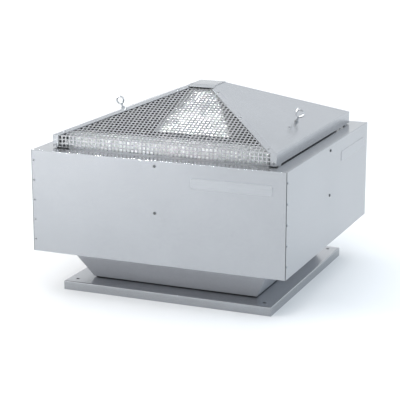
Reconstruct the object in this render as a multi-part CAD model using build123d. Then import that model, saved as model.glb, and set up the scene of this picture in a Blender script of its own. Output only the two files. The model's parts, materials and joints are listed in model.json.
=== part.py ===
from build123d import *
import math
import os

# Roof exhaust fan with a vertical outlet: base plate, inverted sheet shell, square casing,
# pyramid hood with two grilles, and a motor with a backward-curved impeller inside.
# Millimetres, +Z up, front towards -Y, origin at the middle of the base plate's underside.

SHEET = 1.5
RIVET_HOLE_R = 2.1
RIVET_R = 2.0

# Base plate and the inverted shell that stands on it
BASE_HALF = 325.0
BASE_HEIGHT = 27.0
BASE_SHEET = 2.0
BASE_BEND_R = 4.0
BOLT_HALF = 295.0
BOLT_HOLE_R = 5.0
CORNER_SLOT = 1.2
INLET_R = 176.0
GASKET = 3.0
SHELL_LOW_HALF = 258.5
SHELL_LOW_Z = BASE_HEIGHT + GASKET
SHELL_TOP_HALF = 371.5
SHELL_TOP_Z = 240.0
SHELL_RIM_Z = 292.0
SHELL_FLANGE = 25.0

# Square casing
CASING_HALF = 387.5
CASING_LOW_Z = 130.0
CASING_TOP_Z = 430.0
CASING_BEND_R = 2.5
CASING_RETURN = 20.0
CASING_HEM = 12.0
CORNER_RIVETS = 5
CORNER_RIVET_INSET = 7.0
CORNER_RIVET_LOW_Z = 166.5
CORNER_RIVET_PITCH = 58.4
SCREW_HEIGHTS = (280.0, 414.0)
SCREW_HOLE_R = 2.6
SCREW_R = 2.5

# Outlet throat
THROAT_HALF = 308.0
THROAT_LOW_Z = 410.0
THROAT_TOP_Z = 477.0
LINING = 4.0

# Pyramid hood
HOOD_HALF = 341.0
HOOD_LOW_Z = 433.5
HOOD_BEND_Z = 468.5
HOOD_TOP_HALF = 38.0
HOOD_TOP_Z = 589.0
HIP_STRIP = 22.0
SKIRT_STRIP = 17.0
CAP_LIP = 14.0
HOOD_RUN = HOOD_HALF - HOOD_TOP_HALF
HOOD_RISE = HOOD_TOP_Z - HOOD_BEND_Z
HOOD_SLOPE = math.hypot(HOOD_RUN, HOOD_RISE)
HOOD_SIN = HOOD_RISE / HOOD_SLOPE
HOOD_COS = HOOD_RUN / HOOD_SLOPE
HOOD_ANGLE = math.degrees(math.atan2(HOOD_RISE, HOOD_RUN))

MAT_LOW_X = 300.0
CARRIER_FLANGE_WIDE = 30.0

# Perforation of the grilles
HOLE_PITCH = 12.0
HOLE_SIDE = 8.0
SKIRT_FIRST_ROW = 5.6
SKIRT_ROW_PITCH = 11.3
SLOPE_FIRST_ROW = 7.5
GRILLE_INSET = 6.0

# Lifting eyes
EYE_X = 281.0
EYE_RING_R = 11.2
EYE_WIRE_R = 2.5
EYE_HEIGHT = 27.0
EYE_STEM_R = 3.0

# Motor, its plate and its weather cover
PLATE_HALF = 188.0
PLATE_Z = 209.0
PLATE_THICK = 3.0
POST_AT = 168.0
POST_SIDE = 20.0
BUFFER_HEIGHT = 15.0
MOTOR_Z = PLATE_Z + PLATE_THICK
MOTOR_R = 74.0
FIN_R = 82.0
MOTOR_FLANGE = 10.0
MOTOR_BOLT_AT = 56.0
MOTOR_LENGTH = 140.0
BEARING_R = 21.0
RUNNING_GAP = 0.05
PRESS_GAP = 0.02
SHAFT_R = 10.0
COVER_LOW_HALF = 123.5
COVER_LOW_Z = 454.5
COVER_TOP_HALF = 39.0
COVER_TOP_Z = 572.0
LEG_AT = 100.0
LEG_SIDE = 12.0

# Impeller
IMPELLER_R = 177.5
EYE_R = 124.0
THROAT_R = 118.0
SHROUD_LOW_Z = 104.0
SHROUD_RIM_Z = 130.0
BACK_Z = 196.0
BLADES = 7
BLADE_THICK = 2.5


def block(x0, x1, y0, y1, z0, z1):
    return Pos((x0 + x1) / 2, (y0 + y1) / 2, (z0 + z1) / 2) * Box(x1 - x0, y1 - y0, z1 - z0)


def square_bar(half, z0, z1):
    return block(-half, half, -half, half, z0, z1)


def rod(radius, z0, z1, x=0.0, y=0.0):
    return Pos(x, y, (z0 + z1) / 2) * Cylinder(radius, z1 - z0)


def rod_along_y(radius, y0, y1, x, z):
    return Pos(x, (y0 + y1) / 2, z) * Rot(90, 0, 0) * Cylinder(radius, y1 - y0)


def turned(shape, quarters):
    return Rot(0, 0, 90 * quarters) * shape


def all_sides(shape):
    return [turned(shape, quarters) for quarters in range(4)]


def without(shape, cutters):
    return shape - cutters


def frustum(low_half, low_z, high_half, high_z):
    corners = ((-1, -1), (1, -1), (1, 1), (-1, 1))
    low = [Vector(low_half * x, low_half * y, low_z) for x, y in corners]
    high = [Vector(high_half * x, high_half * y, high_z) for x, y in corners]
    outlines = [low, high]
    for start in range(4):
        end = (start + 1) % 4
        outlines.append([low[start], low[end], high[end], high[start]])
    faces = [Face(Wire.make_polygon(outline, close=True)) for outline in outlines]
    return Part() + Solid(Shell(faces))


def slope_plane(low_half, low_z, high_half, high_z):
    """The front face of a square frustum: x across, y up the slope, z out of the face."""
    up = Vector(0, low_half - high_half, high_z - low_z).normalized()
    normal = Vector(1, 0, 0).cross(up)
    return Plane(origin=(0, -low_half, low_z), x_dir=(1, 0, 0), z_dir=normal)


def plate_on(plane, outline, thickness):
    """A flat plate whose outer surface is on the plane and whose body lies behind it."""
    face = plane * make_face(Polyline(*outline, close=True))
    return extrude(face, amount=thickness, dir=-plane.z_dir)


def front_quarter():
    """The wedge in front of both diagonals, for mitred corners."""
    reach = 2 * CASING_HALF
    outline = Polyline((0, 0), (-reach, -reach), (reach, -reach), close=True)
    return extrude(make_face(outline), amount=reach)


HOOD_FRONT = slope_plane(HOOD_HALF, HOOD_BEND_Z, HOOD_TOP_HALF, HOOD_TOP_Z)


def hip(along_slope):
    """Half width of a hood face at a distance up its slope."""
    return HOOD_HALF - HOOD_RUN * along_slope / HOOD_SLOPE


def hood_surface_z(x):
    """Height of the hood's outer surface on a side face, above the middle line."""
    return HOOD_BEND_Z + (HOOD_HALF - x) * HOOD_RISE / HOOD_RUN


# ---------------------------------------------------------------- base


def base_plate():
    tray = square_bar(BASE_HALF, 0, BASE_HEIGHT)
    tray = fillet(tray.edges().group_by(Axis.Z)[-1], BASE_BEND_R)
    inner = square_bar(BASE_HALF - BASE_SHEET, -1, BASE_HEIGHT - BASE_SHEET)
    inner = fillet(inner.edges().group_by(Axis.Z)[-1], BASE_BEND_R - BASE_SHEET)
    tray = tray - inner
    tray = tray - rod(INLET_R, 0, BASE_HEIGHT + 1)
    for x in (-1, 1):
        for y in (-1, 1):
            tray = tray - rod(BOLT_HOLE_R, 0, BASE_HEIGHT + 1, x * BOLT_HALF, y * BOLT_HALF)
    slot_top = BASE_HEIGHT - BASE_BEND_R
    slot = block(BASE_HALF - 8, BASE_HALF + 1, -CORNER_SLOT / 2, CORNER_SLOT / 2, -1, slot_top)
    slot = Pos(BASE_HALF - 4, -BASE_HALF + 4, 0) * Rot(0, 0, -45) * Pos(-BASE_HALF, 0, 0) * slot
    tray = without(tray, all_sides(slot))
    return without(tray, shell_rivet_holes() + nozzle_screw_holes())


def shell_rivet_places():
    at = SHELL_LOW_HALF - SHELL_FLANGE / 2
    return [(x, -at) for x in (-170, 0, 170)]


def shell_rivet_holes():
    holes = []
    for x, y in shell_rivet_places():
        holes += all_sides(rod(RIVET_HOLE_R, BASE_HEIGHT - 5, SHELL_LOW_Z + 5, x, y))
    return holes


def shell_rivets():
    rivets = []
    for x, y in shell_rivet_places():
        rivet = rod(RIVET_R, BASE_HEIGHT - BASE_SHEET - 2, SHELL_LOW_Z + SHEET, x, y)
        rivet = rivet + rod(4, SHELL_LOW_Z + SHEET, SHELL_LOW_Z + SHEET + 1.5, x, y)
        rivet = rivet + rod(3, BASE_HEIGHT - BASE_SHEET - 2, BASE_HEIGHT - BASE_SHEET, x, y)
        rivets += all_sides(rivet)
    return Compound(children=[rivet.solid() for rivet in rivets])


def base_gasket():
    outer = SHELL_LOW_HALF - 5
    inner = SHELL_LOW_HALF - SHELL_FLANGE + 2
    ring = square_bar(outer, BASE_HEIGHT, SHELL_LOW_Z) - square_bar(inner, 0, 100)
    return without(ring, shell_rivet_holes())


def shell_panel():
    plane = slope_plane(SHELL_LOW_HALF, SHELL_LOW_Z, SHELL_TOP_HALF, SHELL_TOP_Z)
    length = math.hypot(SHELL_TOP_HALF - SHELL_LOW_HALF, SHELL_TOP_Z - SHELL_LOW_Z)
    outline = [
        (-SHELL_LOW_HALF, 0),
        (SHELL_LOW_HALF, 0),
        (SHELL_TOP_HALF, length),
        (-SHELL_TOP_HALF, length),
    ]
    panel = plate_on(plane, outline, SHEET)
    low = SHELL_LOW_HALF
    panel = panel + block(-low, low, -low, -low + SHELL_FLANGE, SHELL_LOW_Z, SHELL_LOW_Z + SHEET)
    top = SHELL_TOP_HALF
    panel = panel + block(-top, top, -top, -top + SHEET, SHELL_TOP_Z - 1, SHELL_RIM_Z)
    panel = panel & front_quarter()
    holes = shell_rivet_holes() + [spacer_screw_hole()]
    return without(panel, holes)


# -------------------------------------------------------------- casing


def corner_rivet_heights():
    return [CORNER_RIVET_LOW_Z + step * CORNER_RIVET_PITCH for step in range(CORNER_RIVETS)]


def casing_panel():
    """Front panel: its left end laps over the next panel, its right end folds back under one."""
    out = CASING_HALF
    skin = out - SHEET
    panel = block(-out, skin, -out, -skin, CASING_LOW_Z, CASING_TOP_Z)
    flange = block(-skin, skin, -skin, -THROAT_HALF, CASING_TOP_Z - SHEET, CASING_TOP_Z)
    hem = block(-skin, skin, -skin, -skin + CASING_HEM, CASING_LOW_Z, CASING_LOW_Z + SHEET)
    panel = panel + (flange & front_quarter()) + (hem & front_quarter())
    fold_low = CASING_LOW_Z + 2 * SHEET
    fold_top = CASING_TOP_Z - 2 * SHEET
    fold = block(skin - SHEET, skin, -skin - SHEET / 2, -skin + CASING_RETURN, fold_low, fold_top)
    panel = panel + fold
    top_edges = panel.edges().filter_by(Axis.X).group_by(Axis.Z)[-1].group_by(Axis.Y)[0]
    panel = fillet(top_edges, CASING_BEND_R - 1)
    cutters = []
    at = out - CORNER_RIVET_INSET
    for z in corner_rivet_heights():
        lap_hole = rod_along_y(RIVET_HOLE_R, -out - 5, -out + 5, -at, z)
        cutters += [lap_hole, turned(lap_hole, 1)]
    for z in SCREW_HEIGHTS:
        cutters.append(rod_along_y(SCREW_HOLE_R, -out - 5, -out + 5, 0, z))
    return without(panel, cutters)


def dome_rivet(x, z):
    """A blind rivet through the front face: a low domed head outside and a short tail."""
    face = -CASING_HALF
    shank = rod_along_y(RIVET_R, face - 0.5, face + 2 * SHEET + 1, x, z)
    dome = Pos(x, face + 3.6, z) * Sphere(5.2)
    outside = block(x - 6, x + 6, face - 6, face, z - 6, z + 6)
    return shank + (dome & outside)


def casing_rivets():
    at = CASING_HALF - CORNER_RIVET_INSET
    rivets = []
    for z in corner_rivet_heights():
        rivets += all_sides(dome_rivet(-at, z))
    return Compound(children=[rivet.solid() for rivet in rivets])


def casing_screw(z):
    face = -CASING_HALF
    head = rod_along_y(4.2, face - 2, face, 0, z)
    head = fillet(head.edges().group_by(Axis.Y)[0], 1.2)
    slot = block(-5, 5, face - 3, face - 1.2, z - 0.6, z + 0.6)
    return head - slot + rod_along_y(SCREW_R, face - 0.5, face + 9, 0, z)


def casing_screws():
    screws = []
    for z in SCREW_HEIGHTS:
        screws += all_sides(casing_screw(z))
    return Compound(children=[screw.solid() for screw in screws])


def spacer_screw_hole():
    return rod_along_y(SCREW_HOLE_R, -CASING_HALF - 5, -CASING_HALF + 10, 0, SCREW_HEIGHTS[0])


def casing_spacers():
    """Short square tubes that hold the casing clear of the shell's rim, so rain drains between."""
    outer = -CASING_HALF + SHEET
    inner = -SHELL_TOP_HALF
    low = SCREW_HEIGHTS[0] - 12
    tube = block(-20, 20, outer, inner, low, SHELL_RIM_Z)
    bore = block(-25, 25, outer + SHEET, inner - SHEET, low + SHEET, SHELL_RIM_Z - SHEET)
    tube = tube - bore - spacer_screw_hole()
    return Compound(children=[side.solid() for side in all_sides(tube)])


def throat_brackets():
    outer = -CASING_HALF + SHEET
    top = CASING_TOP_Z - SHEET
    bracket = block(-15, 15, outer, outer + 2, SCREW_HEIGHTS[1] - 10, top)
    bracket = bracket + block(-15, 15, outer, -THROAT_HALF, top - 2, top)
    bracket = bracket + block(-15, 15, -THROAT_HALF - 2, -THROAT_HALF, THROAT_LOW_Z + 2, top)
    hole = rod_along_y(SCREW_HOLE_R, outer - 5, outer + 5, 0, SCREW_HEIGHTS[1])
    return Compound(children=[side.solid() for side in all_sides(bracket - hole)])


def nameplates():
    """Plain blank plates, low on the sheet, at the upper right of two faces."""
    face = -CASING_HALF
    plate = block(108, 347, face - 1, face, 361, 390)
    plate = fillet(plate.edges().filter_by(Axis.Y), 6)
    plate = fillet(plate.edges().group_by(Axis.Y)[0], 0.6)
    return Compound(children=[plate.solid(), turned(plate, 1).solid()])


# -------------------------------------------------------- outlet throat


def outlet_throat():
    ring = square_bar(THROAT_HALF, THROAT_LOW_Z, THROAT_TOP_Z)
    return ring - square_bar(THROAT_HALF - SHEET, THROAT_LOW_Z - 1, THROAT_TOP_Z + 1)


def throat_lining():
    out = THROAT_HALF - SHEET
    ring = square_bar(out, THROAT_LOW_Z + 2, THROAT_TOP_Z - 2)
    ring = ring - square_bar(out - LINING, THROAT_LOW_Z - 1, THROAT_TOP_Z + 1)
    gap = block(out - LINING - 1, out + 1, -16, 16, THROAT_LOW_Z - 1, THROAT_TOP_Z + 1)
    ring = ring - gap - turned(gap, 2)
    return Compound(children=ring.solids())


# ----------------------------------------------------------------- hood


def hood_side():
    """A solid side of the hood, drawn as the front one: skirt, slope and folded hip strips."""
    half = HOOD_HALF
    top = HOOD_TOP_HALF
    slope = [(-half, 0), (half, 0), (top, HOOD_SLOPE), (-top, HOOD_SLOPE)]
    side = plate_on(HOOD_FRONT, slope, SHEET)
    side = side + block(-half, half, -half, -half + SHEET, HOOD_LOW_Z, HOOD_BEND_Z)
    strip_low = [(-half, 0), (-half + HIP_STRIP, 0)]
    strip_top = [(-top + HIP_STRIP, HOOD_SLOPE), (-top, HOOD_SLOPE)]
    strip = plate_on(HOOD_FRONT, strip_low + strip_top, SHEET)
    strip = strip + block(
        -half, -half + SKIRT_STRIP, -half, -half + SHEET, HOOD_LOW_Z, HOOD_BEND_Z
    )
    side = side + turned(strip, 1) + turned(mirror(strip, about=Plane.YZ), 3)
    cutters = [hood_eye_hole()]
    for u, s in hip_rivet_places():
        hole = on_slope(Cylinder(RIVET_HOLE_R, 12), u, s, 0)
        cutters += [turned(hole, 3), turned(mirror(hole, about=Plane.YZ), 1)]
    corner_hole = rod_along_y(RIVET_HOLE_R, -half - 5, -half + 5, *skirt_screw_place())
    cutters += [turned(corner_hole, 3), turned(mirror(corner_hole, about=Plane.YZ), 1)]
    cutters.append(on_slope(Cylinder(RIVET_HOLE_R, 12), *mat_rivet_place(), 0))
    return without(side, cutters)


def on_slope(shape, u, s, out):
    """Puts a shape on the front slope: u across, s up the slope, out along its normal."""
    return HOOD_FRONT.location * Pos(u, s, out) * shape


def eye_place():
    return 0.0, (HOOD_HALF - EYE_X) / HOOD_COS


def hood_eye_hole():
    return on_slope(Cylinder(EYE_STEM_R + 0.2, 30), *eye_place(), 0)


def mat_rivet_place():
    return -80.0, (HOOD_HALF - 286.0) / HOOD_COS


def hip_rivet_places():
    """Rivets along the right hip of the front grille, on the folded strip."""
    return [(hip(share * HOOD_SLOPE) - 11, share * HOOD_SLOPE) for share in (0.06, 0.5, 0.88)]


def skirt_screw_place():
    return HOOD_HALF - SKIRT_STRIP / 2, HOOD_LOW_Z + 8


def bend_behind(depth):
    """Height of the bend on a sheet that lies a depth behind the hood's outer surface."""
    return HOOD_BEND_Z - depth * (1 - HOOD_SIN) / HOOD_COS


def square_hole(x, y):
    half = HOLE_SIDE / 2
    corners = [(x - half, y - half), (x + half, y - half), (x + half, y + half), (x - half, y + half)]
    return Wire.make_polygon([Vector(*corner) for corner in corners], close=True)


def hole_columns(reach):
    count = int((reach - HOLE_PITCH / 2) // HOLE_PITCH) + 1
    right = [HOLE_PITCH / 2 + HOLE_PITCH * step for step in range(count)]
    return [-x for x in reversed(right)] + right


def perforated(outline, holes, plane, thickness):
    outer = Wire.make_polygon([Vector(*point) for point in outline], close=True)
    face = Face(outer, holes)
    return extrude(plane * face, amount=thickness, dir=-plane.z_dir)


def grille():
    """Front grille: one perforated sheet, sloping and bent down into the skirt."""
    depth = SHEET
    bend_z = bend_behind(depth)
    slope = Plane(
        origin=(0, -(HOOD_HALF - depth), bend_z), x_dir=(1, 0, 0), z_dir=HOOD_FRONT.z_dir
    )
    edge = HOLE_SIDE / 2 + 2
    top = HOOD_SLOPE - 8
    outline = [
        (-hip(0) + GRILLE_INSET, 0),
        (hip(0) - GRILLE_INSET, 0),
        (hip(top) - GRILLE_INSET, top),
        (-hip(top) + GRILLE_INSET, top),
    ]
    holes = []
    row = SLOPE_FIRST_ROW
    while row < top - edge:
        reach = hip(row + HOLE_SIDE / 2) - GRILLE_INSET - edge
        holes += [square_hole(x, row) for x in hole_columns(reach)]
        row += HOLE_PITCH
    sheet = perforated(outline, holes, slope, SHEET)
    skirt = Plane(origin=(0, -(HOOD_HALF - depth), HOOD_LOW_Z), x_dir=(1, 0, 0), z_dir=(0, -1, 0))
    height = bend_z - HOOD_LOW_Z
    wide = hip(0) - GRILLE_INSET
    outline = [(-wide, 0), (wide, 0), (wide, height), (-wide, height)]
    holes = []
    for step in range(3):
        row = SKIRT_FIRST_ROW + SKIRT_ROW_PITCH * step
        holes += [square_hole(x, row) for x in hole_columns(HOOD_HALF - SKIRT_STRIP - edge)]
    sheet = sheet + perforated(outline, holes, skirt, SHEET)
    cutters = []
    for u, s in hip_rivet_places():
        cutters += [on_slope(Cylinder(RIVET_HOLE_R, 12), side * u, s, 0) for side in (-1, 1)]
    x, z = skirt_screw_place()
    cutters += [rod_along_y(RIVET_HOLE_R, -HOOD_HALF - 5, -HOOD_HALF + 5, side * x, z) for side in (-1, 1)]
    return without(sheet, cutters)


def flat_dome():
    """Head and shank of a small rivet whose seat is at z = 0 and whose head is above it."""
    dome = Pos(0, 0, -3.6) * Sphere(5.2)
    return (dome & block(-6, 6, -6, 6, 0, 6)) + rod(RIVET_R, -4, 0.5)


def hood_rivets():
    """Rivets of the grilles' edges, and one through each damping mat."""
    mat_rivet = on_slope(flat_dome(), *mat_rivet_place(), 0)
    rivets = [turned(mat_rivet, 1), turned(mat_rivet, 3)]
    for side in (-1, 1):
        for u, s in hip_rivet_places():
            rivet = on_slope(flat_dome(), side * u, s, 0)
            rivets += [rivet, turned(rivet, 2)]
        x, z = skirt_screw_place()
        rivet = Pos(side * x, -HOOD_HALF, z) * Rot(90, 0, 0) * flat_dome()
        rivets += [rivet, turned(rivet, 2)]
    return Compound(children=[rivet.solid() for rivet in rivets])


def hood_cap():
    """Square cap whose lips lie on the two grilles; its other two edges end on the solid sides."""
    spread = SHEET / HOOD_SIN
    cap_top = HOOD_TOP_Z + SHEET
    cap_low = HOOD_TOP_Z - CAP_LIP * HOOD_SIN
    per_height = HOOD_RUN / HOOD_RISE

    def half(z):
        return HOOD_TOP_HALF + (HOOD_TOP_Z - z) * per_height

    outer = frustum(half(cap_low) + spread, cap_low, half(cap_top) + spread, cap_top)
    inner = frustum(half(cap_low - 2), cap_low - 2, HOOD_TOP_HALF, HOOD_TOP_Z)
    keep = block(-HOOD_TOP_HALF - 3, HOOD_TOP_HALF + 3, -CASING_HALF, CASING_HALF, 0, cap_top + 1)
    return (outer - inner) & keep


def hood_feet():
    """Angle brackets that stand the hood a few millimetres above the casing."""
    inside = HOOD_HALF - SHEET
    feet = []
    for side in (-1, 1):
        at = 310 * side
        foot = block(inside - 2, inside, at - 12, at + 12, CASING_TOP_Z, HOOD_LOW_Z + 26)
        foot = foot + block(inside - 24, inside, at - 12, at + 12, CASING_TOP_Z, CASING_TOP_Z + 2)
        feet += [foot, turned(foot, 2)]
    return Compound(children=[foot.solid() for foot in feet])


def damping_mat():
    """A mat glued under a side of the hood, with a window for the carrier's flange."""
    low, high = (HOOD_HALF - MAT_LOW_X) / HOOD_COS, HOOD_SLOPE - 34
    margin = 26
    plane = HOOD_FRONT.offset(-SHEET)
    outline = [
        (-hip(low) + margin, low),
        (hip(low) - margin, low),
        (hip(high) - margin, high),
        (-hip(high) + margin, high),
    ]
    mat = plate_on(plane, outline, 3.0)
    window = on_slope(Box(CARRIER_FLANGE_WIDE + 4, 76, 20), 0, (HOOD_HALF - 272) / HOOD_COS, 0)
    rivet_hole = on_slope(Cylinder(RIVET_HOLE_R, 20), *mat_rivet_place(), 0)
    return mat - window - rivet_hole


# --------------------------------------------------------- lifting eyes


def lifting_eye():
    ring = Pos(0, 0, EYE_HEIGHT) * Rot(0, 90, 0) * Torus(EYE_RING_R, EYE_WIRE_R)
    stem_top = EYE_HEIGHT - EYE_RING_R
    stem = rod(EYE_STEM_R, -16, stem_top)
    return on_slope(ring + stem, *eye_place(), 0)


def hex_nut():
    nut = extrude(RegularPolygon(5.0, 6, major_radius=False), amount=5.0)
    nut = nut - Cylinder(EYE_STEM_R + 0.05, 30)
    return nut


def eye_nuts():
    upper = on_slope(Pos(0, 0, 1.2) * hex_nut(), *eye_place(), 0)
    lower = on_slope(Pos(0, 0, -SHEET - 4.0 - 5.0) * hex_nut(), *eye_place(), 0)
    nuts = [turned(nut, quarters) for nut in (upper, lower) for quarters in (1, 3)]
    return Compound(children=[nut.solid() for nut in nuts])


def eye_washers():
    washer = rod(7.0, 0, 1.2) - Cylinder(EYE_STEM_R + 0.05, 10)
    washer = on_slope(washer, *eye_place(), 0)
    return Compound(children=[turned(washer, quarters).solid() for quarters in (1, 3)])


def carrier_plate():
    """Upright plate between motor and hood, which carries a lifting eye. Drawn for +X."""
    under = (SHEET + 3.0) / HOOD_COS

    def below_mat(x):
        return hood_surface_z(x) - under

    outer = THROAT_HALF - SHEET - 3.0
    cover_side = COVER_LOW_HALF + 1.0
    outline = [
        (150, MOTOR_Z),
        (PLATE_HALF, MOTOR_Z),
        (outer, THROAT_LOW_Z - 8),
        (outer, below_mat(outer)),
        (COVER_TOP_HALF + 6, below_mat(COVER_TOP_HALF + 6)),
        (COVER_TOP_HALF + 6, COVER_TOP_Z - 6),
        (cover_side, COVER_LOW_Z),
        (cover_side, COVER_LOW_Z - 30),
    ]
    upright = Plane.XZ * make_face(Polyline(*outline, close=True))
    plate = extrude(upright, amount=1.5, both=True)
    end = block(outer, THROAT_HALF - SHEET, -15, 15, THROAT_LOW_Z + 2, THROAT_TOP_Z - 2)
    foot = block(150, PLATE_HALF, -1.5, 18, MOTOR_Z, MOTOR_Z + 2)
    seat = Box(CARRIER_FLANGE_WIDE, 56, 4)
    flange = turned(on_slope(seat, 0, (HOOD_HALF - 270) / HOOD_COS, -SHEET - 2), 1)
    nut_window = turned(on_slope(Box(20, 20, 16), *eye_place(), -SHEET - 4 - 8), 1)
    return plate + end + foot + flange - [nut_window, turned(hood_eye_hole(), 1)]


# ------------------------------------------------------ motor and frame


def corner_places(at):
    return [(x * at, y * at) for x in (-1, 1) for y in (-1, 1)]


def motor_posts():
    posts = []
    top = PLATE_Z - BUFFER_HEIGHT
    for x, y in corner_places(POST_AT):
        half = POST_SIDE / 2
        tube = block(x - half, x + half, y - half, y + half, BASE_HEIGHT, top)
        bore = block(x - half + 2, x + half - 2, y - half + 2, y + half - 2, BASE_HEIGHT + 3, top - 3)
        foot = block(x - 18, x + 18, y - 18, y + 18, BASE_HEIGHT, BASE_HEIGHT + 3)
        posts.append(tube + foot - bore - rod(3.1, top - 10, top + 1, x, y))
    return Compound(children=[post.solid() for post in posts])


def rubber_buffers():
    low = PLATE_Z - BUFFER_HEIGHT
    buffers = []
    for x, y in corner_places(POST_AT):
        buffers.append(rod(14, low, PLATE_Z, x, y) - rod(3.1, low - 1, PLATE_Z + 1, x, y))
    return Compound(children=[buffer.solid() for buffer in buffers])


def frame_bolts():
    """Bolts through the rubber buffers, and bolts that hold the motor to its plate."""
    bolts = []
    for x, y in corner_places(POST_AT):
        head = Pos(x, y, MOTOR_Z) * extrude(RegularPolygon(5.0, 6, major_radius=False), amount=4.0)
        bolts.append(head + rod(3.0, PLATE_Z - BUFFER_HEIGHT - 8, MOTOR_Z + 1, x, y))
    flange_top = MOTOR_Z + MOTOR_FLANGE
    shanks = motor_bolt_rods(3.0, PLATE_Z - 4, flange_top + 1)
    heads = motor_bolt_rods(5.0, flange_top, flange_top + 4)
    bolts += [shank + head for shank, head in zip(shanks, heads)]
    return Compound(children=[bolt.solid() for bolt in bolts])


def motor_plate():
    plate = square_bar(PLATE_HALF, PLATE_Z, MOTOR_Z) - rod(45, 0, 400)
    holes = [rod(3.1, 0, 400, x, y) for x, y in corner_places(POST_AT)]
    return without(plate, holes + motor_bolt_rods(3.1, 0, 400))


def motor_bolt_rods(radius, z0, z1):
    return [rod(radius, z0, z1, x, y) for x, y in corner_places(MOTOR_BOLT_AT)]


def motor_flange():
    """Drive-end shield: mounting flange below, spigot and bearing seat above."""
    low = MOTOR_Z
    step = low + MOTOR_FLANGE
    seat = rod(BEARING_R + RUNNING_GAP, low + 14, low + 31)
    shield = rod(90, low, step) + rod(MOTOR_R - 8, step, low + 30)
    shield = shield - rod(MOTOR_R - 14, low + 22, low + 31) + rod(28, step, low + 29)
    return without(shield, motor_bolt_rods(3.1, 0, 400) + [seat, rod(SHAFT_R + 2, 0, 400)])


def motor_housing():
    low, top = MOTOR_Z + MOTOR_FLANGE, MOTOR_Z + MOTOR_LENGTH
    shell = rod(MOTOR_R - 2, low + 6, top)
    fin = block(MOTOR_R - 4, FIN_R, -1, 1, low + 14, top - 6)
    for step in range(24):
        shell = shell + Rot(0, 0, 7.5 + 15 * step) * fin
    shell = shell - rod(MOTOR_R - 7.95, low - 1, top + 1)
    return shell


def motor_top_shield():
    low = MOTOR_Z + 120
    top = MOTOR_Z + MOTOR_LENGTH
    shield = rod(MOTOR_R - 2, top, top + 6) + rod(MOTOR_R - 8, low + 10, top)
    shield = shield - rod(MOTOR_R - 14, low, top - 2)
    shield = shield + rod(28, low, top)
    return shield - rod(SHAFT_R + 2, 0, 500) - rod(BEARING_R + RUNNING_GAP, low - 1, low + 15)


def bearing(low):
    ring = rod(BEARING_R, low, low + 12) - rod(SHAFT_R + RUNNING_GAP, 0, 500)
    groove = rod(18.0, low + 11, low + 13) - rod(13.5, low, low + 13)
    return ring - groove - (rod(18.0, low - 1, low + 1) - rod(13.5, low - 2, low + 2))


def stator():
    low, top = MOTOR_Z + 42, MOTOR_Z + 108
    core = rod(MOTOR_R - 8, low, top) - rod(38.5, 0, 500)
    slot = block(38, 50, -2, 2, low - 1, top + 1)
    for step in range(12):
        core = core - Rot(0, 0, 30 * step) * slot
    return core


def windings():
    low, top = MOTOR_Z + 34, MOTOR_Z + 116
    coils = []
    for z0, z1 in ((low, MOTOR_Z + 42), (MOTOR_Z + 108, top)):
        ring = rod(58, z0, z1) - rod(42, z0 - 1, z1 + 1)
        coils.append(ring.solid())
    return Compound(children=coils)


def rotor():
    low, top = MOTOR_Z + 42, MOTOR_Z + 108
    return rod(37.5, low, top) - rod(SHAFT_R + PRESS_GAP, 0, 500)


def motor_shaft():
    shaft = rod(SHAFT_R, 160, MOTOR_Z + 170)
    return shaft - rod(3.3, 100, 190)


def cooling_fan():
    low = MOTOR_Z + 150
    hub = rod(20, low, low + 16)
    fan = hub + rod(52, low, low + 2)
    blade = block(18, 58, -1, 1, low + 1, low + 14)
    for step in range(8):
        fan = fan + Rot(0, 0, 45 * step) * blade
    return fan - rod(SHAFT_R + PRESS_GAP, 0, 500)


def fan_cowl():
    low, top = MOTOR_Z + 132, MOTOR_Z + 184
    cowl = fillet(rod(FIN_R + 3, low, top).edges().group_by(Axis.Z)[-1], 12)
    hollow = fillet(rod(FIN_R + 1.5, low - 1, top - SHEET).edges().group_by(Axis.Z)[-1], 10)
    cowl = cowl - hollow
    slot = block(22, 62, -2.5, 2.5, top - 5, top + 1)
    return without(cowl, [Rot(0, 0, 30 * step) * slot for step in range(12)])


def terminal_box_at(shape):
    return Rot(0, 0, 135) * shape


def terminal_box():
    z0, z1 = MOTOR_Z + 60, MOTOR_Z + 118
    body = block(FIN_R - 1, 112, -28, 28, z0, z1) - rod(FIN_R + 0.2, 0, 500)
    body = body - block(90, 113, -25, 25, z0 + 3, z1 - 3)
    gland_hole = rod(6.1, z0 - 1, z0 + 4, 101, 0)
    return terminal_box_at(body - gland_hole)


def terminal_box_lid():
    z0, z1 = MOTOR_Z + 60, MOTOR_Z + 118
    lid = block(112, 116, -28, 28, z0, z1)
    return terminal_box_at(fillet(lid.edges().group_by(Axis.X)[-1], 2))


def cable_gland():
    z0 = MOTOR_Z + 60
    body = Pos(101, 0, z0 - 8) * extrude(RegularPolygon(8.0, 6, major_radius=False), amount=8)
    body = body + rod(6.0, z0 - 1, z0 + 6, 101, 0) + rod(7.0, z0 - 16, z0 - 8, 101, 0)
    return terminal_box_at(body - rod(3.5, z0 - 30, z0 + 20, 101, 0))


def motor_cover():
    """Steep pyramid of bright sheet that keeps rain off the motor."""
    run = COVER_LOW_HALF - COVER_TOP_HALF
    rise = COVER_TOP_Z - COVER_LOW_Z
    inset = SHEET * math.hypot(run, rise) / rise
    per_height = run / rise
    cover = frustum(COVER_LOW_HALF, COVER_LOW_Z, COVER_TOP_HALF, COVER_TOP_Z)
    low, top = COVER_LOW_Z - 2, COVER_TOP_Z - SHEET
    hollow = frustum(
        COVER_LOW_HALF - inset + 2 * per_height,
        low,
        COVER_TOP_HALF - inset + SHEET * per_height,
        top,
    )
    cover = cover - hollow
    flange = square_bar(COVER_LOW_HALF - 1, COVER_LOW_Z, COVER_LOW_Z + SHEET)
    return cover + (flange - square_bar(92, 0, 600))


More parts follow.
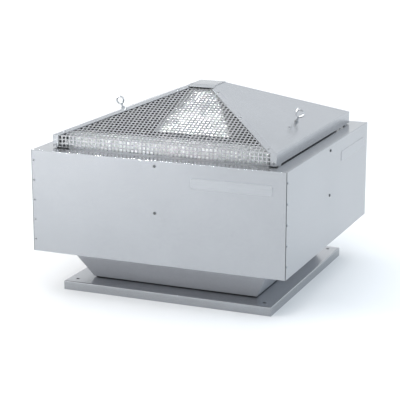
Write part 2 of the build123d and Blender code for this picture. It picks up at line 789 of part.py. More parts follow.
def cover_legs():
    half = LEG_SIDE / 2
    legs = []
    for x, y in corner_places(LEG_AT):
        leg = block(x - half, x + half, y - half, y + half, MOTOR_Z, COVER_LOW_Z)
        legs.append(leg.solid())
    return Compound(children=legs)


# ----------------------------------------------------- inlet and impeller


def nozzle_screw_holes():
    return [Rot(0, 0, 22.5 + 45 * step) * rod(2.6, 20, 35, 192, 0) for step in range(8)]


def inlet_nozzle():
    z0 = BASE_HEIGHT
    flare = THROAT_R + 52
    profile = [
        Line((205, z0), (205, z0 + SHEET)),
        Line((205, z0 + SHEET), (flare, z0 + SHEET)),
        RadiusArc((flare, z0 + SHEET), (THROAT_R, z0 + 66), 90),
        Line((THROAT_R, z0 + 66), (THROAT_R, z0 + 82)),
        Line((THROAT_R, z0 + 82), (THROAT_R - SHEET, z0 + 82)),
        Line((THROAT_R - SHEET, z0 + 82), (THROAT_R - SHEET, z0 + 66)),
        RadiusArc((THROAT_R - SHEET, z0 + 66), (flare - SHEET, z0), -90),
        Line((flare - SHEET, z0), (205, z0)),
    ]
    section = Plane.XZ * make_face([edge for curve in profile for edge in curve.edges()])
    return without(revolve(section, Axis.Z), nozzle_screw_holes())


def nozzle_screws():
    screws = []
    top = BASE_HEIGHT + SHEET
    for step in range(8):
        screw = rod(2.5, BASE_HEIGHT - 6, top + 1, 192, 0) + rod(4.5, top, top + 2.5, 192, 0)
        screws.append((Rot(0, 0, 22.5 + 45 * step) * screw).solid())
    return Compound(children=screws)


def impeller_shroud():
    section = Plane.XZ * make_face(
        Polyline(
            (EYE_R, SHROUD_LOW_Z),
            (EYE_R, SHROUD_LOW_Z + 10),
            (IMPELLER_R, SHROUD_RIM_Z),
            (IMPELLER_R, SHROUD_RIM_Z - 2),
            (EYE_R + 2, SHROUD_LOW_Z + 8),
            (EYE_R + 2, SHROUD_LOW_Z),
            close=True,
        )
    )
    return revolve(section, Axis.Z)


def impeller_backplate():
    return rod(IMPELLER_R, BACK_Z, BACK_Z + 2) - rod(SHAFT_R + PRESS_GAP, 0, 400)


def impeller_blades():
    """Backward-curved blades from the eye to the rim, between shroud and back plate."""
    inner, outer = (112.0, 0.0), (105.0, 140.0)
    arc = RadiusArc(inner, outer, 150)
    strip = trace(arc, line_width=BLADE_THICK)
    blade = extrude(strip, amount=BACK_Z - SHROUD_LOW_Z)
    blade = Pos(0, 0, SHROUD_LOW_Z) * blade
    below = Plane.XZ * make_face(
        Polyline(
            (0, 0),
            (0, SHROUD_LOW_Z + 12),
            (EYE_R, SHROUD_LOW_Z + 10.4),
            (IMPELLER_R + 20, SHROUD_RIM_Z + (SHROUD_RIM_Z - SHROUD_LOW_Z - 10) * 20 / 53.5 + 0.4),
            (IMPELLER_R + 20, 0),
            close=True,
        )
    )
    blade = blade - revolve(below, Axis.Z)
    blade = blade & rod(IMPELLER_R - 0.5, 0, 400)
    blades = [(Rot(0, 0, 360 / BLADES * step) * blade).solid() for step in range(BLADES)]
    return Compound(children=blades)


def impeller_hub():
    hub = rod(25, 166, BACK_Z) + rod(45, BACK_Z - 4, BACK_Z)
    return hub - rod(SHAFT_R + PRESS_GAP, 0, 400)


def hub_screw():
    screw = rod(3.2, 150, 185) + rod(14, 157, 160)
    return screw + Pos(0, 0, 151) * extrude(RegularPolygon(6.5, 6, major_radius=False), amount=6)


# ------------------------------------------------------------- assembly


def sides(name, shape):
    places = {"front": 0, "right": 1, "rear": 2, "left": 3}
    return {f"{name}_{place}": turned(shape, quarters) for place, quarters in places.items()}


def build_nodes():
    side = hood_side()
    mat = damping_mat()
    eye = lifting_eye()
    mesh = grille()
    carrier = carrier_plate()
    nodes = {
        "base_plate": base_plate(),
        "base_gasket": base_gasket(),
        "shell_rivets": shell_rivets(),
        "casing_rivets": casing_rivets(),
        "casing_screws": casing_screws(),
        "casing_spacers": casing_spacers(),
        "throat_brackets": throat_brackets(),
        "nameplates": nameplates(),
        "outlet_throat": outlet_throat(),
        "throat_lining": throat_lining(),
        "hood_side_right": turned(side, 1),
        "hood_side_left": turned(side, 3),
        "hood_cap": hood_cap(),
        "hood_feet": hood_feet(),
        "front_grille": mesh,
        "rear_grille": turned(mesh, 2),
        "hood_rivets": hood_rivets(),
        "damping_mat_right": turned(mat, 1),
        "damping_mat_left": turned(mat, 3),
        "lifting_eye_right": turned(eye, 1),
        "lifting_eye_left": turned(eye, 3),
        "eye_nuts": eye_nuts(),
        "eye_washers": eye_washers(),
        "carrier_plate_right": carrier,
        "carrier_plate_left": turned(carrier, 2),
        "motor_posts": motor_posts(),
        "rubber_buffers": rubber_buffers(),
        "motor_plate": motor_plate(),
        "frame_bolts": frame_bolts(),
        "motor_flange": motor_flange(),
        "motor_housing": motor_housing(),
        "motor_top_shield": motor_top_shield(),
        "bearing_lower": bearing(MOTOR_Z + 14),
        "bearing_upper": bearing(MOTOR_Z + 122),
        "stator": stator(),
        "windings": windings(),
        "rotor": rotor(),
        "motor_shaft": motor_shaft(),
        "cooling_fan": cooling_fan(),
        "fan_cowl": fan_cowl(),
        "terminal_box": terminal_box(),
        "terminal_box_lid": terminal_box_lid(),
        "cable_gland": cable_gland(),
        "motor_cover": motor_cover(),
        "cover_legs": cover_legs(),
        "inlet_nozzle": inlet_nozzle(),
        "nozzle_screws": nozzle_screws(),
        "impeller_shroud": impeller_shroud(),
        "impeller_backplate": impeller_backplate(),
        "impeller_blades": impeller_blades(),
        "impeller_hub": impeller_hub(),
        "hub_screw": hub_screw(),
    }
    nodes.update(sides("shell", shell_panel()))
    nodes.update(sides("casing", casing_panel()))
    return nodes


def main():
    os.makedirs("parts", exist_ok=True)
    for name, shape in build_nodes().items():
        export_step(shape, f"parts/{name}.step")


main()
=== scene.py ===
import json
import math

import bmesh
import bpy
from mathutils import Matrix, Vector


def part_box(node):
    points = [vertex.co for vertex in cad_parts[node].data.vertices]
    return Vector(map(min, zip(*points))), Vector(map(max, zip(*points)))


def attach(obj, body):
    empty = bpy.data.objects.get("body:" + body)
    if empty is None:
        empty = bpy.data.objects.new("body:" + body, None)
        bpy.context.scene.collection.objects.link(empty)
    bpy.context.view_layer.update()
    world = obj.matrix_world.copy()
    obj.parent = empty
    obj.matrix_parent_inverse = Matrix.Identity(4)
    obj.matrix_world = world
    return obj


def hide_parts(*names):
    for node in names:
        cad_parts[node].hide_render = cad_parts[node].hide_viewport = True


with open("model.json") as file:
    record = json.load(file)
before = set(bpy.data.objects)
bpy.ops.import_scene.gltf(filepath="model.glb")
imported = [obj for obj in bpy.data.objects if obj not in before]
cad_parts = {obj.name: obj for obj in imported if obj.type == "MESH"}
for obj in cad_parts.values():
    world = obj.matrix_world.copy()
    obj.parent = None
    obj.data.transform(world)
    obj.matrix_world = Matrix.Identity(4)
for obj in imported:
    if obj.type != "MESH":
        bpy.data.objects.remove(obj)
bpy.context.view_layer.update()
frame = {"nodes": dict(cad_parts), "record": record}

# Looks of the roof exhaust fan. Metres, +Z up, the front grille faces -Y.

MM = 0.001


# ------------------------------------------------------------ camera and studio

CAMERA_LENS = 121
CAMERA_FROM = (22.67, 14.16)
CAMERA_TARGET = Vector((-0.0211, -0.0088, 0.228))
CAMERA_DISTANCE = 4.103

# The room's brightness from below and from above, and its tint at the left and the right.
WORLD_LOW = 1.05
WORLD_HIGH = 1.4
WORLD_TINTS = ((1.0, 1.0, 1.0, 1), (0.86, 0.93, 1.0, 1))

WHITE = (1.0, 1.0, 1.0)
WARM_WHITE = (1.0, 0.99, 0.97)
COOL_WHITE = (0.66, 0.85, 1.0)

# Name, place, the point it aims at, size in metres, power in watts, tint and beam in degrees.
SOFTBOXES = (
    ("key softbox", (-2.6, -2.0, 1.5), (-1.5, -1.4, 0.0), 1.2, 46, WARM_WHITE, 180),
    ("hood softbox", (-1.5, -2.1, 3.4), (-0.03, -0.1, 0.5), 0.5, 1.0, WHITE, 12),
    ("low softbox", (-2.59, -2.32, 1.4), (0.0, -0.15, 0.5), 0.5, 1.8, WHITE, 12),
    ("cool side softbox", (3.2, 0.4, 1.3), (1.3, 0.3, 0.0), 1.4, 20, COOL_WHITE, 180),
)

FLOOR_RADIUS = 40


def along(azimuth, elevation):
    """Unit vector from the fan towards a point round it, azimuth 0 in front."""
    a, e = math.radians(azimuth), math.radians(elevation)
    return Vector((math.sin(a) * math.cos(e), -math.cos(a) * math.cos(e), math.sin(e)))


def add_camera():
    data = bpy.data.cameras.new("camera")
    data.sensor_width = 36
    data.lens = CAMERA_LENS
    camera = bpy.data.objects.new("camera", data)
    back = along(*CAMERA_FROM)
    camera.location = CAMERA_TARGET + CAMERA_DISTANCE * back
    camera.rotation_mode = "QUATERNION"
    camera.rotation_quaternion = (-back).to_track_quat("-Z", "Y")
    bpy.context.scene.collection.objects.link(camera)
    bpy.context.scene.camera = camera


def add_softbox(name, place, aim, size, power, tint, beam):
    data = bpy.data.lights.new(name, "AREA")
    data.shape = "DISK"
    data.size = size
    data.energy = power
    data.spread = math.radians(beam)
    data.color = tint
    lamp = bpy.data.objects.new(name, data)
    lamp.location = place
    lamp.rotation_mode = "QUATERNION"
    lamp.rotation_quaternion = (Vector(place) - Vector(aim)).to_track_quat("Z", "Y")
    bpy.context.scene.collection.objects.link(lamp)


def add_floor(material):
    mesh = bpy.data.meshes.new("floor")
    shape = bmesh.new()
    bmesh.ops.create_circle(shape, cap_ends=True, radius=FLOOR_RADIUS, segments=64)
    shape.to_mesh(mesh)
    shape.free()
    mesh.materials.append(material)
    floor = bpy.data.objects.new("floor", mesh)
    bpy.context.scene.collection.objects.link(floor)


def set_world():
    """A white room: a little brighter overhead, a little cooler to the right."""
    world = bpy.data.worlds.new("studio")
    world.use_nodes = True
    bpy.context.scene.world = world
    tree = world.node_tree
    direction = tree.nodes.new("ShaderNodeTexCoord").outputs["Generated"]
    parts = tree.nodes.new("ShaderNodeSeparateXYZ")
    tree.links.new(direction, parts.inputs[0])
    tint = tree.nodes.new("ShaderNodeValToRGB")
    for element, shade in zip(tint.color_ramp.elements, WORLD_TINTS):
        element.color = shade
    spread = tree.nodes.new("ShaderNodeMapRange")
    spread.inputs["From Min"].default_value = -1
    tree.links.new(parts.outputs["X"], spread.inputs["Value"])
    tree.links.new(spread.outputs[0], tint.inputs[0])
    lift = tree.nodes.new("ShaderNodeMapRange")
    lift.inputs["To Min"].default_value = WORLD_LOW
    lift.inputs["To Max"].default_value = WORLD_HIGH
    tree.links.new(parts.outputs["Z"], lift.inputs["Value"])
    background = tree.nodes["Background"]
    tree.links.new(tint.outputs[0], background.inputs["Color"])
    tree.links.new(lift.outputs[0], background.inputs["Strength"])


# -------------------------------------------------------------------- materials

# Painted shade: the casing's colour is darkened at its upright corners from this far from its
# middle, for the shade in the open joint there.
JOINT_SHADE_INSIDE = 385.6 * MM
JOINT_SHADE_WIDTH = 0.6 * MM
JOINT_SHADE_SHARE = 0.12
SHEET_WAVE = 2.4 * MM
ZINC_GREY = (0.390, 0.402, 0.421)

# Moves the patterns off the fan's middle planes, where their cells would meet.
PATTERN_SHIFT = (1.37, 1.53, 1.71)
RAMP_START = 0.3
RAMP_END = 0.7


class Finish:
    """A node material in the making: patterns on Object coordinates that feed one shader."""

    def __init__(self, name, **shader):
        self.material = bpy.data.materials.new(name)
        self.material.use_nodes = True
        self.tree = self.material.node_tree
        self.shader = self.tree.nodes["Principled BSDF"]
        self.place = self.add("ShaderNodeTexCoord").outputs["Object"]
        shifted = self.add("ShaderNodeMapping", Vector=self.place, Location=PATTERN_SHIFT)
        self.coords = shifted.outputs[0]
        for words, value in shader.items():
            self.shader.inputs[words.replace("_", " ")].default_value = value

    def add(self, kind, **inputs):
        node = self.tree.nodes.new(kind)
        for words, value in inputs.items():
            socket = node.inputs[words.replace("_", " ")]
            if isinstance(value, bpy.types.NodeSocket):
                self.tree.links.new(value, socket)
            else:
                socket.default_value = value
        return node

    def stretched(self, scale=(1, 1, 1), turn=(0, 0, 0)):
        mapping = self.add("ShaderNodeMapping", Vector=self.coords, Scale=scale, Rotation=turn)
        return mapping.outputs[0]

    def noise(self, scale, detail=3.0, roughness=0.5, coords=None):
        return self.add(
            "ShaderNodeTexNoise",
            Vector=coords or self.coords,
            Scale=scale,
            Detail=detail,
            Roughness=roughness,
        ).outputs["Fac"]

    def cells(self, scale):
        """A grey value that differs from crystal to crystal."""
        pattern = self.add("ShaderNodeTexVoronoi", Vector=self.coords, Scale=scale)
        return self.add("ShaderNodeSeparateColor", Color=pattern.outputs["Color"]).outputs[0]

    def bands(self, scale, distortion=0.0):
        """Level bands, stacked along Z."""
        pattern = self.add(
            "ShaderNodeTexWave", Vector=self.coords, Scale=scale, Distortion=distortion
        )
        pattern.bands_direction = "Z"
        return pattern.outputs["Fac"]

    def span(self, value, low, high):
        return self.add("ShaderNodeMapRange", Value=value, To_Min=low, To_Max=high).outputs[0]

    def total(self, first, second, share):
        return self.add("ShaderNodeMix", Factor=share, A=first, B=second).outputs["Result"]

    def painted_corner_shade(self):
        """Mask of painted shade: 0 on open sheet, 1 at the four upright corners of a square case.
        """
        across = self.add("ShaderNodeSeparateXYZ", Vector=self.place)
        reach = self.add("ShaderNodeMath")
        reach.operation = "MINIMUM"
        for axis in (0, 1):
            size = self.add("ShaderNodeMath")
            size.operation = "ABSOLUTE"
            self.tree.links.new(across.outputs[axis], size.inputs[0])
            self.tree.links.new(size.outputs[0], reach.inputs[axis])
        return self.add(
            "ShaderNodeMapRange",
            Value=reach.outputs[0],
            From_Min=JOINT_SHADE_INSIDE,
            From_Max=JOINT_SHADE_INSIDE + JOINT_SHADE_WIDTH,
        ).outputs[0]

    def colour(self, value, low, high, shade=None):
        """A ramp from low to high; shade, if any, darkens it where it is 1."""
        ramp = self.add("ShaderNodeValToRGB", Fac=value)
        ramp.color_ramp.elements[0].position = RAMP_START
        ramp.color_ramp.elements[1].position = RAMP_END
        ramp.color_ramp.elements[0].color = (*low, 1)
        ramp.color_ramp.elements[1].color = (*high, 1)
        result = ramp.outputs["Color"]
        if shade is not None:
            # Painted shade: where shade is 1 the colour drops to a small share of the low colour.
            joint_shade_colour = (*darker(low, JOINT_SHADE_SHARE), 1)
            mix = self.add("ShaderNodeMixRGB", Fac=shade, Color1=result, Color2=joint_shade_colour)
            result = mix.outputs[0]
        self.tree.links.new(result, self.shader.inputs["Base Color"])

    def roughness(self, value, low, high):
        self.tree.links.new(self.span(value, low, high), self.shader.inputs["Roughness"])

    def relief(self, *layers):
        """Each layer is a height value and the depth in metres that it stands for."""
        normal = None
        for height, depth in layers:
            bump = self.add("ShaderNodeBump", Height=height, Strength=1.0, Distance=depth)
            if normal is not None:
                self.tree.links.new(normal, bump.inputs["Normal"])
            normal = bump.outputs["Normal"]
        self.tree.links.new(normal, self.shader.inputs["Normal"])


def darker(colour, share):
    return tuple(part * share for part in colour)


def sheet_metal(name, colour, smooth, dull, metallic=1.0, corner_shaded=False):
    """Zinc-coated sheet: faint crystals, cloudy gloss and the slight waviness of thin sheet."""
    finish = Finish(name, Metallic=metallic)
    crystals = finish.cells(150)
    clouds = finish.noise(6, 4)
    # Painted shade darkens the upright corners of the casing, when asked for.
    corner_shade = finish.painted_corner_shade() if corner_shaded else None
    finish.colour(finish.total(clouds, crystals, 0.25), darker(colour, 0.94), colour, corner_shade)
    smears = finish.noise(14, 5, 0.6, finish.stretched((1, 1, 0.25)))
    finish.roughness(finish.total(smears, finish.noise(160, 2), 0.3), smooth, dull)
    oblique = finish.stretched(turn=(0.3, 0.5, 0.2))
    finish.relief((finish.noise(3.2, 1.0, coords=oblique), SHEET_WAVE))
    return finish.material


def foil_face():
    """Crinkled aluminium foil on the damping mats."""
    finish = Finish("aluminium foil", Metallic=0.35)
    creases = finish.noise(70, 6, 0.62)
    finish.colour(creases, (0.80, 0.81, 0.82), (0.94, 0.95, 0.95))
    finish.roughness(finish.noise(40, 3), 0.3, 0.5)
    finish.relief((creases, 0.0008), (finish.noise(900, 2), 0.00004))
    return finish.material


def black_coat():
    """Matt black powder coat; its near-black colour is also painted shade for the dark inside of
    the hood.
    """
    finish = Finish("black powder coat", Specular_IOR_Level=0.15)
    finish.colour(finish.noise(60, 4), (0.003, 0.003, 0.003), (0.008, 0.008, 0.009))
    finish.roughness(finish.noise(220, 3), 0.5, 0.68)
    finish.relief((finish.noise(1100, 2), 0.00004))
    return finish.material


def plated_steel(name, dark, light, smooth, dull):
    finish = Finish(name, Metallic=1.0)
    finish.colour(finish.noise(180, 4), dark, light)
    finish.roughness(finish.noise(260, 3), smooth, dull)
    finish.relief((finish.noise(700, 3), 0.00003))
    return finish.material


# Painted shade and painted reflection: the rivet colour is kept far darker than the zinc sheet,
# for the shade round the small domes and the dark surroundings they mirror.
def rivet_steel_painted_shade():
    finish = Finish("drawn rivet steel", Metallic=1.0)
    finish.colour(finish.noise(300, 4), (0.20, 0.21, 0.22), (0.34, 0.35, 0.36))
    finish.roughness(finish.noise(400, 3), 0.3, 0.5)
    finish.relief((finish.noise(900, 2), 0.00002))
    return finish.material


def blank_plate():
    finish = Finish("blank name plate", Metallic=1.0)
    grain = finish.noise(60, 3, 0.6, finish.stretched((0.15, 0.15, 6)))
    finish.colour(grain, (0.385, 0.40, 0.42), (0.42, 0.43, 0.45))
    finish.roughness(grain, 0.24, 0.34)
    finish.relief((grain, 0.000006))
    return finish.material


def absorber():
    """Black fibre mat; its near-black colour is also painted shade for the dark inside of the
    fan.
    """
    finish = Finish("black absorber mat", Specular_IOR_Level=0.2)
    fibres = finish.noise(900, 6, 0.7, finish.stretched((1, 1, 0.4)))
    finish.colour(fibres, (0.002, 0.002, 0.002), (0.009, 0.009, 0.010))
    finish.roughness(fibres, 0.85, 1.0)
    finish.relief((fibres, 0.0006))
    return finish.material


def rubber():
    finish = Finish("black rubber")
    finish.colour(finish.noise(300, 4), (0.010, 0.010, 0.011), (0.028, 0.028, 0.030))
    finish.roughness(finish.noise(200, 4), 0.55, 0.75)
    finish.relief((finish.noise(1200, 3), 0.00005))
    return finish.material


# Dark motor paint; its near-black colour also stands in as painted shade for the shaded inside of
# the casing.
def motor_paint():
    finish = Finish("dark motor paint", Coat_Weight=0.2, Coat_Roughness=0.2)
    finish.colour(finish.noise(40, 5), (0.022, 0.025, 0.028), (0.045, 0.049, 0.053))
    finish.roughness(finish.noise(90, 4), 0.38, 0.55)
    finish.relief((finish.noise(500, 2), 0.00006))
    return finish.material


def cast_aluminium():
    finish = Finish("cast aluminium", Metallic=1.0)
    grains = finish.noise(600, 5, 0.65)
    finish.colour(grains, (0.34, 0.34, 0.35), (0.52, 0.52, 0.53))
    finish.roughness(grains, 0.42, 0.6)
    finish.relief((grains, 0.00012))
    return finish.material


def ground_steel():
    finish = Finish("ground steel", Metallic=1.0)
    rings = finish.bands(900, 1.5)
    finish.colour(rings, (0.42, 0.42, 0.43), (0.58, 0.58, 0.59))
    finish.roughness(rings, 0.18, 0.3)
    finish.relief((rings, 0.000006))
    return finish.material


def laminated_core():
    """A stack of thin sheets, 0.5 mm each."""
    finish = Finish("laminated core steel", Metallic=1.0)
    sheets = finish.bands(1000)
    finish.colour(sheets, (0.08, 0.08, 0.085), (0.22, 0.22, 0.23))
    finish.roughness(sheets, 0.4, 0.6)
    finish.relief((sheets, 0.0001))
    return finish.material


def copper_winding():
    finish = Finish("enamelled copper winding", Metallic=0.8, Coat_Weight=0.4)
    wires = finish.bands(420, 6.0)
    finish.colour(wires, (0.16, 0.045, 0.015), (0.55, 0.20, 0.07))
    finish.roughness(wires, 0.25, 0.45)
    finish.relief((wires, 0.0004))
    return finish.material


def moulded_plastic():
    finish = Finish("black moulded plastic")
    finish.colour(finish.noise(120, 3), (0.012, 0.012, 0.013), (0.022, 0.022, 0.024))
    finish.roughness(finish.noise(500, 3), 0.42, 0.55)
    finish.relief((finish.noise(1500, 2), 0.00003))
    return finish.material


def studio_floor():
    finish = Finish("studio floor", Specular_IOR_Level=0.1)
    finish.colour(finish.noise(0.6, 2), (0.90, 0.90, 0.90), (0.92, 0.92, 0.92))
    finish.roughness(finish.noise(3, 2), 0.8, 0.9)
    return finish.material


def make_materials():
    return {
        "galvanised": sheet_metal("galvanised sheet", ZINC_GREY, 0.20, 0.30, metallic=0.94),
        # The casing sheet carries painted shade along its upright corners.
        "casing_sheet": sheet_metal(
            "casing sheet", ZINC_GREY, 0.20, 0.30, metallic=0.94, corner_shaded=True
        ),
        "dull_galvanised": sheet_metal(
            "dull galvanised sheet", (0.45, 0.46, 0.49), 0.34, 0.5, metallic=0.35
        ),
        "bright_sheet": sheet_metal("bright sheet", (0.93, 0.94, 0.95), 0.34, 0.48, metallic=0.3),
        "impeller_sheet": sheet_metal("impeller sheet", (0.60, 0.61, 0.62), 0.26, 0.38),
        "foil": foil_face(),
        "black_coat": black_coat(),
        "label_plate": blank_plate(),
        "zinc_plated": plated_steel(
            "zinc plated steel", (0.34, 0.35, 0.36), (0.50, 0.51, 0.52), 0.18, 0.34
        ),
        # Zinc plate in a much darker tone than the plain zinc plate, for the casing screws.
        "dark_zinc": plated_steel(
            "dark zinc plate", (0.10, 0.105, 0.11), (0.18, 0.185, 0.19), 0.4, 0.6
        ),
        "mesh_sheet": sheet_metal(
            "perforated sheet", (0.39, 0.395, 0.405), 0.22, 0.32, metallic=0.97
        ),
        "rivet_steel": rivet_steel_painted_shade(),
        "seal_rubber": rubber(),
        "absorber": absorber(),
        "motor_paint": motor_paint(),
        "cast_aluminium": cast_aluminium(),
        "bearing_steel": ground_steel(),
        "core_steel": laminated_core(),
        "copper": copper_winding(),
        "moulded_black": moulded_plastic(),
    }


SLOTS = {row["node"]: row["material_slot"] for row in frame["record"]["subparts"]}
BODIES = {
    node: body
    for body, nodes in frame["record"]["behaviour"]["bodies"].items()
    for node in nodes
}
OWN_FINISH = {
    "casing_front": "casing_sheet",
    "casing_rear": "casing_sheet",
    "casing_left": "casing_sheet",
    "casing_right": "casing_sheet",
    "shell_front": "dull_galvanised",
    "shell_rear": "dull_galvanised",
    "shell_left": "dull_galvanised",
    "shell_right": "dull_galvanised",
    "front_grille": "mesh_sheet",
    "rear_grille": "mesh_sheet",
    "casing_screws": "dark_zinc",
}


def finish_of(node):
    """A node's own finish where it differs from the others in its slot."""
    return OWN_FINISH.get(node, SLOTS[node])


def paint_nodes(materials):
    for name, piece in frame["nodes"].items():
        piece.data.materials.clear()
        piece.data.materials.append(materials[finish_of(name)])


# ----------------------------------------------------------------- made pieces

FORMED_ELSEWHERE = {
    "front_grille",
    "rear_grille",
    "lifting_eye_left",
    "lifting_eye_right",
    "nameplates",
}
# Radius in millimetres of the softened edges.
EDGE_ROUND = {
    "hood_cap": 0.5,
    "motor_cover": 0.6,
    "outlet_throat": 0.4,
    "base_plate": 0.4,
    "casing_front": 0.4,
    "casing_rear": 0.4,
    "casing_left": 0.4,
    "casing_right": 0.4,
    "eye_nuts": 0.4,
    "terminal_box": 1.0,
    "terminal_box_lid": 1.0,
}
SMOOTH_BELOW = math.radians(32)
ROUND_ABOVE = math.radians(40)
FLAT_WITHIN = math.radians(0.5)
SAME_POINT = 0.005 * MM
SAME_SPUN_POINT = 0.001 * MM


def show_piece(name, shape, nodes, materials):
    """Makes a bmesh a piece that stands for CAD nodes and moves with their body."""
    mesh = bpy.data.meshes.new(name)
    shape.to_mesh(mesh)
    shape.free()
    mesh.shade_smooth()
    mesh.set_sharp_from_angle(angle=SMOOTH_BELOW)
    mesh.materials.append(materials[finish_of(nodes[0])])
    piece = bpy.data.objects.new(name, mesh)
    bpy.context.scene.collection.objects.link(piece)
    even = piece.modifiers.new("even normals", "WEIGHTED_NORMAL")
    even.keep_sharp = True
    even.weight = 100
    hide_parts(*nodes)
    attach(piece, BODIES[nodes[0]])


def merged_copy(node):
    """A node's surface as one joined mesh whose flat faces are whole again."""
    shape = bmesh.new()
    shape.from_mesh(frame["nodes"][node].data)
    bmesh.ops.remove_doubles(shape, verts=shape.verts, dist=SAME_POINT)
    bmesh.ops.dissolve_limit(
        shape,
        angle_limit=FLAT_WITHIN,
        use_dissolve_boundaries=False,
        verts=shape.verts,
        edges=shape.edges,
    )
    return shape


def bevelled(shape, geom, offset, segments, affect):
    bmesh.ops.bevel(
        shape,
        geom=geom,
        offset=offset,
        offset_type="OFFSET",
        segments=segments,
        profile=0.5,
        affect=affect,
        clamp_overlap=True,
        material=-1,
    )


def round_edges(shape, radius):
    sharp = [edge for edge in shape.edges if edge.calc_face_angle(0) > ROUND_ABOVE]
    bevelled(shape, sharp, radius, 2, "EDGES")


def join_into(shape, part):
    """Adds one bmesh to another and frees it."""
    mesh = bpy.data.meshes.new("part")
    part.to_mesh(mesh)
    part.free()
    shape.from_mesh(mesh)
    bpy.data.meshes.remove(mesh)


def turn_right_round(shape, profile, steps):
    """Spins a profile a full turn about Z and closes it."""
    bmesh.ops.spin(
        shape,
        geom=profile,
        cent=(0, 0, 0),
        axis=(0, 0, 1),
        dvec=(0, 0, 0),
        angle=math.tau,
        steps=steps,
        use_merge=True,
    )
    bmesh.ops.remove_doubles(shape, verts=shape.verts, dist=SAME_SPUN_POINT)
    bmesh.ops.recalc_face_normals(shape, faces=shape.faces)


def stand_up(shape):
    """Turns a shape from the XY plane into the XZ plane."""
    upright = Matrix.Rotation(math.pi / 2, 3, "X")
    bmesh.ops.rotate(shape, cent=(0, 0, 0), matrix=upright, verts=shape.verts)


def form_nodes(materials):
    """Every folded, turned or cast part with its true smooth bends and softened edges."""
    for node in frame["nodes"]:
        if node not in FORMED_ELSEWHERE:
            shape = merged_copy(node)
            if node in EDGE_ROUND:
                round_edges(shape, EDGE_ROUND[node] * MM)
            show_piece(node + "_formed", shape, [node], materials)


# The lifting eye as bent from wire, its seat at the origin and its shank along Z.
EYE_RING = 11.2 * MM
EYE_WIRE = 2.5 * MM
EYE_STEM = 3.0 * MM
EYE_HEIGHT = 27.0 * MM
EYE_SHANK = 16.0 * MM
EYE_THREAD_TOP = 7.5 * MM
THREAD_PITCH = 1.0 * MM
THREAD_DEPTH = 0.35 * MM
THREAD_FLANK = 0.45 * MM
THREAD_CREST = 0.9 * MM
SHANK_CHAMFER = 0.4 * MM
SHANK_LEAD = 0.6 * MM
SHOULDER_WIDER = 0.9 * MM
SHOULDER_HIGH = 2.0 * MM
STEM_INTO_RING = 0.8 * MM
HOOD_TILT = math.atan2(303.0, 120.5)
EYE_SEAT = Vector((281.0, 0.0, 492.36)) * MM


def spun(points, steps):
    """A profile of (radius, height) points turned right round Z."""
    shape = bmesh.new()
    corners = [shape.verts.new((radius, 0, height)) for radius, height in points]
    edges = [shape.edges.new(pair) for pair in zip(corners, corners[1:])]
    turn_right_round(shape, corners + edges, steps)
    return shape


def eye_ring():
    shape = bmesh.new()
    wire_place = Matrix.Translation((EYE_RING, 0, 0)) @ Matrix.Rotation(math.pi / 2, 4, "X")
    wire = bmesh.ops.create_circle(shape, radius=EYE_WIRE, segments=20, matrix=wire_place)
    turn_right_round(shape, wire["verts"] + list(shape.edges), 48)
    stand_up(shape)
    bmesh.ops.translate(shape, vec=(0, 0, EYE_HEIGHT), verts=shape.verts)
    return shape


def eye_stem():
    """Threaded shank that flows into the ring through a small shoulder."""
    top = EYE_HEIGHT - EYE_RING + STEM_INTO_RING
    turn = -EYE_SHANK + SHANK_LEAD
    points = [(0, -EYE_SHANK), (EYE_STEM - SHANK_CHAMFER, -EYE_SHANK), (EYE_STEM, turn)]
    while turn < EYE_THREAD_TOP:
        points.append((EYE_STEM - THREAD_DEPTH, turn + THREAD_FLANK))
        points.append((EYE_STEM, turn + THREAD_CREST))
        turn += THREAD_PITCH
    points.append((EYE_STEM, turn + THREAD_PITCH))
    points.append((EYE_STEM, top - SHOULDER_HIGH))
    points.append((EYE_STEM + SHOULDER_WIDER, top))
    points.append((0, top))
    return spun(points, 32)


def bend_lifting_eyes(materials):
    for side, name in ((1, "lifting_eye_right"), (-1, "lifting_eye_left")):
        shape = bmesh.new()
        join_into(shape, eye_ring())
        join_into(shape, eye_stem())
        lean = Matrix.Rotation(side * (math.pi / 2 - HOOD_TILT), 4, "Y")
        seat = Matrix.Translation((side * EYE_SEAT.x, 0, EYE_SEAT.z))
        bmesh.ops.transform(shape, matrix=seat @ lean, verts=shape.verts)
        show_piece(name + "_bent", shape, [name], materials)


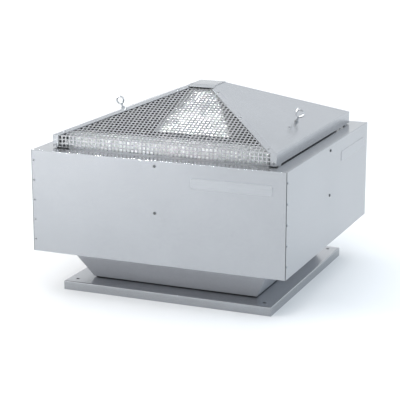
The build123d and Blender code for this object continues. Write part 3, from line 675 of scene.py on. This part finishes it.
# The blank plates: how far each starts from its face's right-hand corner, and its pressing.
PLATE_START = 279.5 * MM
PLATE_WIDE = 239 * MM
PLATE_DEPTH = 0.7 * MM
PLATE_CORNER = 6 * MM
PLATE_RIM = 0.9 * MM
PLATE_RISE = 0.3 * MM


def plate_blank(wide, high):
    """A pressed plate in the XZ plane that faces -Y: a raised field inside a flat rim."""
    shape = bmesh.new()
    bmesh.ops.create_grid(shape, x_segments=1, y_segments=1, size=0.5)
    bmesh.ops.scale(shape, vec=(wide, high, 1), verts=shape.verts)
    stand_up(shape)
    bevelled(shape, list(shape.verts), PLATE_CORNER, 6, "VERTICES")
    grown = bmesh.ops.extrude_face_region(shape, geom=list(shape.faces))["geom"]
    bmesh.ops.translate(
        shape,
        vec=(0, -PLATE_DEPTH, 0),
        verts=[item for item in grown if isinstance(item, bmesh.types.BMVert)],
    )
    field = [item for item in grown if isinstance(item, bmesh.types.BMFace)]
    bmesh.ops.recalc_face_normals(shape, faces=shape.faces)
    bmesh.ops.inset_region(
        shape, faces=field, thickness=PLATE_RIM, depth=PLATE_RISE, use_even_offset=True
    )
    return shape


def press_nameplates(materials):
    """Two blank plates, one on the front face and one on the right."""
    low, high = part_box("nameplates")
    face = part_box("casing_front")[0].y
    corner = -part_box("casing_left")[0].x
    middle = Vector((corner - PLATE_START + PLATE_WIDE / 2, face, (low.z + high.z) / 2))
    shape = bmesh.new()
    for quarter in (0, 1):
        plate = plate_blank(PLATE_WIDE, high.z - low.z)
        place = Matrix.Rotation(quarter * math.pi / 2, 4, "Z") @ Matrix.Translation(middle)
        bmesh.ops.transform(plate, matrix=place, verts=plate.verts)
        join_into(shape, plate)
    show_piece("nameplates_pressed", shape, ["nameplates"], materials)


def main():
    scene = bpy.context.scene
    scene.view_settings.view_transform = "Standard"
    add_camera()
    set_world()
    add_floor(studio_floor())
    for softbox in SOFTBOXES:
        add_softbox(*softbox)
    materials = make_materials()
    paint_nodes(materials)
    form_nodes(materials)
    bend_lifting_eyes(materials)
    press_nameplates(materials)


main()
